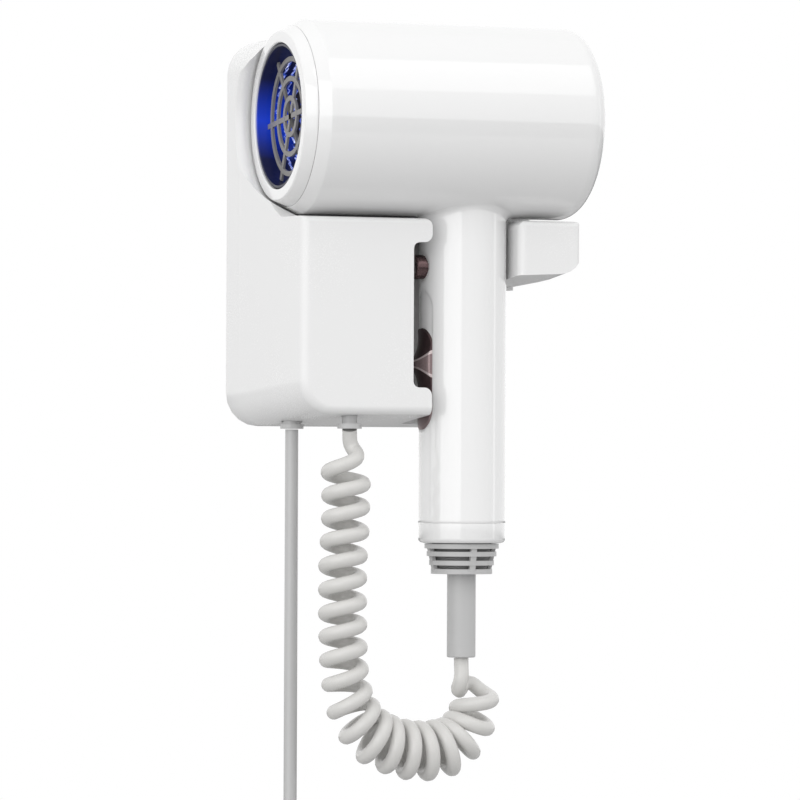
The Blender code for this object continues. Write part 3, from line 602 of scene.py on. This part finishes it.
def handle_column(angle):
    """One strip of the skin from the bottom rim up into the barrel, then down the inner wall."""
    ahead, aside = math.cos(angle), math.sin(angle)
    column = [(HANDLE_R - RIM, HANDLE_END), (HANDLE_R - 0.3 * RIM, HANDLE_END + 0.3 * RIM),
              (HANDLE_R, HANDLE_END + RIM)]
    rows = int((STRAIGHT_TOP - HANDLE_END) / ROW_PITCH)
    for row in range(1, rows + 1):
        z = HANDLE_END + RIM + (STRAIGHT_TOP - HANDLE_END - RIM) * row / rows
        column.append((HANDLE_R - (dent(HANDLE_R * aside, z) if ahead < 0 else 0.0), z))
    start = HANDLE_R + FILLET
    drop = math.sqrt(BARREL_R ** 2 - (start * aside) ** 2)
    slope = math.atan(start * aside ** 2 / drop)
    middle_z = -drop - FILLET / math.cos(slope)
    for step in range(FILLET_STEPS + 1):
        bend = math.pi - (math.pi / 2 - slope) * step / FILLET_STEPS
        column.append((start + FILLET * math.cos(bend), middle_z + FILLET * math.sin(bend)))
    column.append((column[-1][0], column[-1][1] + NECK_INSIDE))
    inner = HANDLE_R - HANDLE_T
    column += [(inner, middle_z + INNER_RISE), (inner, HANDLE_END)]
    return [Vector((radius * ahead, radius * aside, z)) for radius, z in column]


def handle_skin():
    columns = [handle_column(math.tau * step / AROUND) for step in range(AROUND)]
    count = len(columns[0])
    points = [CENTRE + point * MM for column in columns for point in column]
    faces = []
    for step in range(AROUND):
        here, there = step * count, (step + 1) % AROUND * count
        faces += [(here + index, there + index, there + (index + 1) % count, here + (index + 1) % count)
                  for index in range(count)]
    return mesh_piece("handle_skin", points, faces, 40.0)


handle = stands_for(handle_skin(), "handle_shell")
print("handle", len(handle.data.polygons), "faces")

# %% [markdown]
# ## The air inlet's gauze
#
# Behind the slots of the inlet sits a cone of fine gauze that keeps lint out. It is turned to fit just inside the
# slotted rings, and its finish carries the weave.

# %% Inlet gauze
GAUZE_TOP, GAUZE_LOW, GAUZE_T = (12.2, -168.6), (10.2, -180.0), 0.5
gauze_outline = [GAUZE_TOP, GAUZE_LOW, (GAUZE_LOW[0] - GAUZE_T, GAUZE_LOW[1]),
                 (GAUZE_TOP[0] - GAUZE_T, GAUZE_TOP[1])]
gauze = stands_for(lathe("inlet_gauze", gauze_outline, "Z", 96), "inlet_filter")
print("gauze", len(gauze.data.polygons), "faces")

# %% [markdown]
# ## The controls
#
# The push button is a short metal cylinder with softened edges, turned finely because its round side faces us. The
# slide control has a bowl for the thumb on each side of a ridge that widens towards its edges. A height formula over
# a capsule-shaped grid gives that form exactly: a saddle, less two round bowls.

# %% Button and slide
BUTTON_FACE, BUTTON_BACK, FLANGE_R, FLANGE_FRONT, DISH = -21.4, -12.9, 5.9, -13.9, 0.25
button_outline = rounded([(0, BUTTON_BACK, 0), (FLANGE_R, BUTTON_BACK, 0), (FLANGE_R, FLANGE_FRONT, 0),
                          (BUTTON_R, FLANGE_FRONT, 0), (BUTTON_R, BUTTON_FACE, 0.8), (3.4, BUTTON_FACE, 0.4),
                          (3.0, BUTTON_FACE + DISH, 0.4), (0, BUTTON_FACE + DISH, 0)])
button = stands_for(lathe("push_button", button_outline, "X", 96, (0, 0, BUTTON_Z)), "cool_button")
SLIDE_HALF, SLIDE_TOP, SLIDE_LOW, RIDGE_Z = 7.5, -83.5, -124.5, -98.0
SLIDE_PROUD, RIDGE_RISE, BOWL_R, BOWL_APART, BOWL_DEPTH = 0.4, 3.3, 9.4, 10.6, 3.0
RIDGE_FADE, RIDGE_ROUND, SLIDE_LEAST = 24.0, 0.8, 0.15
SLIDE_EDGE, SLIDE_SUNK, SLIDE_T = 0.35, 0.3, 1.2
SLIDE_ACROSS, SLIDE_ALONG = 40, 110


def slide_height(y, z):
    """How far the slide's face stands out of the handle: a saddle-shaped ridge with a bowl on each side."""
    fall = 0.5 + 0.5 * math.cos(math.pi * min(abs(z - RIDGE_Z) / RIDGE_FADE, 1.0))
    height = SLIDE_PROUD + RIDGE_RISE * fall * max(0.0, 1 - (y / SLIDE_HALF) ** 2) ** RIDGE_ROUND
    for side in (-1, 1):
        off = math.hypot(y, z - RIDGE_Z - side * BOWL_APART) / BOWL_R
        height -= BOWL_DEPTH * max(0.0, 1 - off ** 2) * fall
    return max(height, SLIDE_LEAST)


def slide_face():
    """A closed cap over the capsule: its face is the height above, and its edge drops into the track."""
    points, faces = [], []
    for row in range(SLIDE_ALONG + 1):
        z = SLIDE_TOP + (SLIDE_LOW - SLIDE_TOP) * row / SLIDE_ALONG
        past = max(z - (SLIDE_TOP - SLIDE_HALF), SLIDE_LOW + SLIDE_HALF - z, 0.0)
        half = math.sqrt(max(SLIDE_HALF ** 2 - past ** 2, 0.0))
        for column in range(SLIDE_ACROSS + 1):
            y = half * math.sin(math.pi / 2 * (2 * column / SLIDE_ACROSS - 1))
            edge = ease(min(half - abs(y), SLIDE_EDGE) / SLIDE_EDGE) if half > 0 else 0.0
            skin = math.sqrt(HANDLE_R ** 2 - y ** 2)
            points.append((y, z, skin - SLIDE_SUNK + (slide_height(y, z) + SLIDE_SUNK) * edge))
    back = [(y, z, math.sqrt(HANDLE_R ** 2 - y ** 2) - SLIDE_T) for y, z, out in points]
    count = len(points)
    wide = SLIDE_ACROSS + 1
    for row in range(SLIDE_ALONG):
        for column in range(SLIDE_ACROSS):
            a = row * wide + column
            faces.append((a, a + 1, a + wide + 1, a + wide))
            faces.append((count + a, count + a + wide, count + a + wide + 1, count + a + 1))
        near, far = row * wide, (row + 1) * wide
        for a, b in ((near, far), (far + SLIDE_ACROSS, near + SLIDE_ACROSS)):
            faces.append((a, b, count + b, count + a))
    for start in (0, SLIDE_ALONG * wide):
        for a in range(start, start + SLIDE_ACROSS):
            faces.append((a, count + a, count + a + 1, a + 1))
    placed = [CENTRE + Vector((-out, y, z)) * MM for y, z, out in points + back]
    return mesh_piece("slide_control", placed, faces, 24.0)


slider = stands_for(slide_face(), "speed_slider")
print("button", len(button.data.polygons), "faces, slide", len(slider.data.polygons))

# %% [markdown]
# ## The lower end of the handle, the glands and the holder
#
# These keep their CAD forms. Joining the triangles and weighting the normals by face area gives flat faces that
# look flat and fillets that look round, without adding one polygon.

# %% Soft-shaded mouldings
KEEP_SHAPE = {"handle_end_ring": 35.0, "inlet_grille": 35.0, "strain_relief": 35.0, "mains_gland": 35.0,
              "curly_gland": 35.0, "wall_housing": 32.0, "back_plate": 35.0}
for node, sharp in KEEP_SHAPE.items():
    stands_for(smooth_copy(node, sharp), node)
print("soft-shaded", len(KEEP_SHAPE), "mouldings")

# %% [markdown]
# ## Finishes
#
# Each finish is a Principled shader with patterns at their true size, read from Object coordinates in metres. A
# moulded plastic has three things that the eye expects: very slight flow clouds in its colour, a grain from the
# mould, and small changes of gloss. Metals add fine brushing or flecks.

# %% Finish helpers
def new_finish(name, metallic=0.0, coat=0.0):
    """A fresh material, its Graph and its Principled shader."""
    material = bpy.data.materials.get(name) or bpy.data.materials.new(name)
    material.use_nodes = True
    shader = material.node_tree.nodes["Principled BSDF"]
    shader.inputs["Metallic"].default_value = metallic
    shader.inputs["Coat Weight"].default_value = coat
    shader.inputs["Coat Roughness"].default_value = 0.03
    return material, Graph(material.node_tree), shader


def object_place(graph):
    return graph.node("ShaderNodeTexCoord", out="Object")


def noise(graph, place, scale, detail=2.0):
    return graph.node("ShaderNodeTexNoise", {}, {"Vector": place, "Scale": scale, "Detail": detail})


def blend_colors(graph, share, low, high):
    """A colour between two, by a share."""
    return graph.node("ShaderNodeMix", {"data_type": "RGBA"},
                      {0: share, 6: (*low, 1.0), 7: (*high, 1.0)}, out=2)


def raised(graph, height, depth, strength=0.5):
    return graph.node("ShaderNodeBump", {}, {"Strength": strength, "Distance": depth, "Height": height})


def shade(color, share):
    return tuple(channel * share for channel in color)


def moulded(name, color, roughness, grain=1400.0, depth=0.00002, clouds=0.03, coat=0.0):
    """Moulded plastic: flow clouds, mould grain and uneven gloss."""
    material, graph, shader = new_finish(name, coat=coat)
    place = object_place(graph)
    cloud = noise(graph, place, 18.0, 3.0)
    fine = noise(graph, place, grain, 3.0)
    graph.plug(shader, {
        "Base Color": blend_colors(graph, cloud, shade(color, 1 - clouds), shade(color, 1 + clouds)),
        "Roughness": (fine - 0.5) * (roughness * 0.35) + (cloud - 0.5) * (roughness * 0.3) + roughness,
        "Normal": raised(graph, fine, depth)})
    return material


def stretched(graph, place, scale):
    """Object coordinates squeezed along chosen axes, for brushing and grain with a direction."""
    return graph.node("ShaderNodeMapping", {}, {"Vector": place, "Scale": scale})


def metal(name, color, roughness, brushing, flecks=0.0):
    """Bare or plated metal: brushing along one direction, and bright flecks where it is plated."""
    material, graph, shader = new_finish(name, metallic=1.0)
    place = object_place(graph)
    lines = noise(graph, stretched(graph, place, brushing), 1.0, 4.0)
    spots = graph.node("ShaderNodeTexVoronoi", {}, {"Vector": place, "Scale": 4200.0}, out="Distance")
    sparkle = graph.node("ShaderNodeMapRange", {}, {"Value": spots, "From Min": 0.28, "From Max": 0.1})
    share = sparkle * flecks + lines * (1 - flecks)
    graph.plug(shader, {
        "Base Color": blend_colors(graph, share, shade(color, 0.82), shade(color, 1.22 + flecks)),
        "Roughness": (lines - 0.5) * 0.22 + roughness,
        "Normal": raised(graph, lines + sparkle * flecks, 0.00001)})
    return material


print("finish helpers ready")

# %% [markdown]
# ### The glowing sleeve
#
# The light guide is lit from its middle height, so the blue is strongest there and sinks to near black at the top and
# the bottom of the bore. The share comes from the height above or below the barrel's axis.

# %% Blue light guide
def light_guide_finish():
    material, graph, shader = new_finish("blue_light_guide")
    place = object_place(graph)
    height = graph.node("ShaderNodeSeparateXYZ", {}, {0: place}, out="Z") - CENTRE.z
    rise = height.math("ABSOLUTE", height) / (SLEEVE_R * MM)
    cloud = noise(graph, place, 90.0, 2.0)
    share = rise + (cloud - 0.5) * 0.16
    glow = graph.node("ShaderNodeValToRGB", {"stops": (
        (0.0, (0.004, 0.035, 0.5, 1.0)), (0.32, (0.003, 0.016, 0.22, 1.0)), (0.6, (0.001, 0.002, 0.025, 1.0)),
        (1.0, (0.001, 0.001, 0.004, 1.0)))}, {"Fac": share})
    graph.plug(shader, {"Base Color": blend_colors(graph, cloud, (0.002, 0.003, 0.012), (0.004, 0.006, 0.03)),
                        "Roughness": cloud * 0.2 + 0.22, "Emission Color": glow, "Emission Strength": 1.0})
    return material


def slide_finish():
    """Plated metal: sparkling bowls darkened with painted shade, a brushed ridge lightened with painted sheen, and a
    painted highlight along the edge between them.
    """
    material, graph, shader = new_finish("slide_plating", metallic=1.0)
    place = object_place(graph)
    y = graph.node("ShaderNodeSeparateXYZ", {}, {0: place}, out="Y") - CENTRE.y
    z = graph.node("ShaderNodeSeparateXYZ", {}, {0: place}, out="Z") - CENTRE.z
    bowls = []
    for side in (-1, 1):
        up = z - (RIDGE_Z + side * BOWL_APART) * MM
        bowls.append(y.math("SQRT", y * y + up * up) / (BOWL_R * MM))
    nearest = y.math("MINIMUM", *bowls)
    ridge = y.math("GREATER_THAN", nearest, 1.0)
    # Painted highlight: a bright line along the rim of each bowl.
    rim = y.math("LESS_THAN", y.math("ABSOLUTE", nearest - 1.0), 0.045)
    lines = noise(graph, stretched(graph, place, (900.0, 900.0, 5200.0)), 1.0, 3.0)
    flecks = noise(graph, place, 5200.0, 1.0)
    # Painted shade in the bowls and painted sheen on the ridge: the bowls are far darker than the brushed ridge.
    bowl_flecks_and_painted_shade = blend_colors(graph, flecks, (0.022, 0.013, 0.014), (0.13, 0.09, 0.094))
    brushed = blend_colors(graph, lines, (0.2, 0.15, 0.15), (0.36, 0.28, 0.285))
    plain = graph.node("ShaderNodeMix", {"data_type": "RGBA"}, {0: ridge, 6: bowl_flecks_and_painted_shade, 7: brushed}, out=2)
    graph.plug(shader, {
        "Base Color": graph.node("ShaderNodeMix", {"data_type": "RGBA"},
                                 {0: rim * 0.75, 6: plain, 7: (0.8, 0.7, 0.7, 1.0)}, out=2),
        "Roughness": ridge * -0.08 + flecks * 0.2 + 0.28,
        "Normal": raised(graph, flecks * (1 - ridge) + lines * ridge * 0.4, 0.00004)})
    return material


def winding_finish():
    """Enamelled copper: close turns round Z, drawn as fine bands."""
    material, graph, shader = new_finish("copper_wire_bands", metallic=0.9)
    place = object_place(graph)
    bands = graph.node("ShaderNodeTexWave", {"bands_direction": "Z"}, {"Vector": place, "Scale": 700.0})
    patina = noise(graph, place, 260.0, 3.0)
    graph.plug(shader, {"Base Color": blend_colors(graph, patina, (0.42, 0.17, 0.07), (0.72, 0.34, 0.14)),
                        "Roughness": patina * 0.2 + 0.28, "Normal": raised(graph, bands, 0.0002)})
    return material


def board_finish():
    """Green laminate with paler copper tracks under the varnish."""
    material, graph, shader = new_finish("green_laminate", coat=0.3)
    place = object_place(graph)
    tracks = graph.node("ShaderNodeTexBrick", {}, {
        "Vector": stretched(graph, place, (330.0, 330.0, 330.0)), "Color1": (0.02, 0.16, 0.06, 1.0),
        "Color2": (0.03, 0.22, 0.08, 1.0), "Mortar": (0.16, 0.42, 0.12, 1.0)})
    weave = noise(graph, place, 2400.0, 2.0)
    graph.plug(shader, {"Base Color": tracks, "Roughness": weave * 0.2 + 0.3,
                        "Normal": raised(graph, weave, 0.00002)})
    return material


def mica_finish():
    """Pressed mica: a brown darkened far below bare mica to paint the shade deep inside the bore, veined and flaky.
    """
    material, graph, shader = new_finish("pressed_mica")
    place = object_place(graph)
    flakes = graph.node("ShaderNodeTexVoronoi", {}, {"Vector": place, "Scale": 520.0}, out="Distance")
    veins = noise(graph, place, 160.0, 4.0)
    # Painted shade: the mica's brown is kept near black for the shade deep in the bore.
    graph.plug(shader, {"Base Color": blend_colors(graph, veins, (0.025, 0.021, 0.02), (0.08, 0.065, 0.055)),
                        "Roughness": flakes * 0.3 + 0.35, "Normal": raised(graph, flakes, 0.0001)})
    return material


def wire_finish():
    """Bright drawn wire with painted light: an emitted blue glow all over and painted white glints stand in for the
    sleeve's light; the same noise varies its tone and gloss.
    """
    material, graph, shader = new_finish("resistance_wire_painted_glow", metallic=1.0)
    place = object_place(graph)
    tone_and_painted_glint = noise(graph, place, 420.0, 2.0)
    # Painted light: the wire glows by itself, a painted blue glow with painted white glints in place of the sleeve's
    # light.
    glow = graph.node("ShaderNodeValToRGB", {"stops": (
        (0.3, (0.0, 0.004, 0.06, 1.0)), (0.52, (0.01, 0.06, 0.5, 1.0)), (0.66, (0.65, 0.72, 1.0, 1.0)))},
        {"Fac": tone_and_painted_glint})
    graph.plug(shader, {"Base Color": blend_colors(graph, tone_and_painted_glint, (0.5, 0.5, 0.55), (0.85, 0.86, 0.9)),
                        "Roughness": tone_and_painted_glint * 0.2 + 0.12, "Emission Color": glow, "Emission Strength": 0.8})
    return material


def gauze_finish():
    """Woven wire gauze: two sets of fine threads that cross."""
    material, graph, shader = new_finish("inlet_gauze_weave", metallic=0.3)
    place = object_place(graph)
    round_it = graph.node("ShaderNodeTexWave", {"bands_direction": "Z"}, {"Vector": place, "Scale": 900.0})
    up_it = graph.node("ShaderNodeTexWave", {"bands_direction": "DIAGONAL"}, {"Vector": place, "Scale": 900.0})
    threads = round_it * 0.5 + up_it * 0.5
    graph.plug(shader, {"Base Color": blend_colors(graph, threads, (0.09, 0.09, 0.092), (0.3, 0.3, 0.3)),
                        "Roughness": threads * 0.2 + 0.35, "Normal": raised(graph, threads, 0.0001)})
    return material


FINISHES = {
    "gloss_white_shell": moulded("white_gloss_plastic", (0.83, 0.83, 0.83), 0.07, 900.0, 0.000006, 0.006, 1.0),
    "satin_white_housing": moulded("white_satin_plastic", (0.82, 0.82, 0.82), 0.26, 2200.0, 0.00003, 0.008),
    "natural_inner_plastic": moulded("natural_grey_plastic", (0.6, 0.6, 0.57), 0.55, 1300.0, 0.00006),
    "grey_soft_plastic": moulded("soft_grey_plastic", (0.5, 0.5, 0.5), 0.34, 1900.0, 0.00004),
    "grille_grey_metal": moulded("grille_paint", (0.25, 0.243, 0.237), 0.42, 2600.0, 0.00005, 0.06),
    "rose_bronze_metal": metal("rose_bronze_plating", (0.125, 0.082, 0.084), 0.27, (900.0, 2400.0, 900.0), 0.25),
    "cord_jacket": moulded("curly_cord_jacket", (0.64, 0.632, 0.615), 0.26, 2600.0, 0.00003, 0.02),
    "mains_jacket": moulded("mains_cord_jacket", (0.5, 0.5, 0.5), 0.2, 2000.0, 0.00002, 0.02, 0.2),
    "blue_light_ring": light_guide_finish(),
    "mica_sheet": mica_finish(),
    "resistance_wire": wire_finish(),
    "zinc_steel": metal("zinc_plated_steel", (0.62, 0.63, 0.65), 0.32, (2600.0, 500.0, 500.0), 0.1),
    "copper_winding": winding_finish(),
    "circuit_board": board_finish(),
    "black_plastic": moulded("matte_black_plastic", (0.03, 0.03, 0.031), 0.45, 1800.0, 0.00006, 0.15),
    "black_rubber": moulded("soft_black_rubber", (0.035, 0.035, 0.035), 0.75, 1200.0, 0.0001, 0.15),
    "brass_pin": metal("plain_brass", (0.78, 0.6, 0.26), 0.24, (500.0, 500.0, 2600.0)),
}
OWN_FINISH = {gauze: gauze_finish(), slider: slide_finish()}
for piece, slot_name in FINISHED:
    piece.data.materials.clear()
    piece.data.materials.append(OWN_FINISH.get(piece, FINISHES[slot_name]))
for node, slot_name in NODE_SLOT.items():
    for holder in frame["nodes"][node].material_slots:
        holder.material = FINISHES[slot_name]
print("finishes", len(FINISHES), "on", len(FINISHED), "pieces and", len(NODE_SLOT), "nodes")

# %% [markdown]
# ## Floor and studio light
#
# The unit hangs above a plain pale floor. Glossy white plastic is only as good as what it mirrors. The air above
# the horizon is a bright even dome and the air below it is dim, which draws the crisp horizontal edge along the
# barrel. A tall softbox on the left lights the handle's near side, a narrow one on the right gives it a second,
# thinner band, and one above softens the top.

# %% Floor
FLOOR_HALF, FLOOR_DROP = 1.2, 0.002
floor_mesh = bpy.data.meshes.new("floor")
floor_z = cad_bounds[0][2] - FLOOR_DROP
floor_mesh.from_pydata([(-FLOOR_HALF, -FLOOR_HALF, floor_z), (FLOOR_HALF, -FLOOR_HALF, floor_z),
                        (FLOOR_HALF, FLOOR_HALF, floor_z), (-FLOOR_HALF, FLOOR_HALF, floor_z)], [], [(0, 1, 2, 3)])
floor = bpy.data.objects.new("floor", floor_mesh)
bpy.context.scene.collection.objects.link(floor)
floor_mesh.materials.append(moulded("pale_studio_floor", (0.5, 0.5, 0.5), 0.6, 300.0, 0.00005, 0.01))
print("floor at", round(floor_z, 4))

# %% Softboxes
def softbox(name, azimuth, distance, low, high, width, brightness, lean=0.0):
    """An upright area light that faces the dryer; brightness is about its radiance."""
    data = bpy.data.lights.new(name, "AREA")
    data.shape = "RECTANGLE"
    data.size, data.size_y = width, high - low
    data.energy = brightness * math.pi * width * (high - low)
    light = bpy.data.objects.new(name, data)
    bpy.context.scene.collection.objects.link(light)
    angle = math.radians(azimuth)
    facing = Vector((math.sin(angle), -math.cos(angle), math.tan(math.radians(lean)))).normalized()
    light.location = Vector((math.sin(angle) * distance, -math.cos(angle) * distance, (low + high) / 2))
    light.rotation_mode = "QUATERNION"
    light.rotation_quaternion = facing.to_track_quat("Z", "Y")
    light.visible_camera = False
    return light


SOFTBOXES = (
    softbox("softbox_left", azimuth=-50.0, distance=2.2, low=-1.0, high=1.5, width=2.3, brightness=1.12),
    softbox("softbox_right", azimuth=72.0, distance=2.0, low=-0.7, high=0.8, width=0.22, brightness=0.9),
    softbox("softbox_top", azimuth=18.0, distance=1.5, low=0.9, high=2.3, width=2.6, brightness=0.75, lean=45.0),
)
print("softboxes", [light.name for light in SOFTBOXES])

# %% [markdown]
# ### The air
#
# The world shader is a ramp on the height of each ray, with a short step just below the horizon. Rays from the
# camera see plain white instead, so the background stays clean while the gloss still mirrors the dome. The Standard
# view transform keeps whites white, where a filmic one would grey them.

# %% World
world = bpy.data.worlds.new("studio_air")
bpy.context.scene.world = world
world.use_nodes = True
air = Graph(world.node_tree)
height = air.node("ShaderNodeSeparateXYZ", {}, {0: air.node("ShaderNodeTexCoord", out="Generated")}, out="Z")
ambient = air.node("ShaderNodeValToRGB", {"stops": (
    (0.0, (0.3, 0.3, 0.3, 1.0)), (0.478, (0.18, 0.18, 0.18, 1.0)), (0.486, (1.1, 1.1, 1.1, 1.0)),
    (1.0, (0.85, 0.85, 0.85, 1.0)))}, {"Fac": height * 0.5 + 0.5})
seen = air.node("ShaderNodeLightPath", out="Is Camera Ray")
backdrop = air.node("ShaderNodeMix", {"data_type": "RGBA"}, {0: seen, 6: ambient, 7: (1.0, 1.0, 1.0, 1.0)}, out=2)
air.plug(world.node_tree.nodes["Background"], {"Color": backdrop, "Strength": 1.0})
bpy.context.scene.view_settings.view_transform = "Standard"
print("world", world.name)
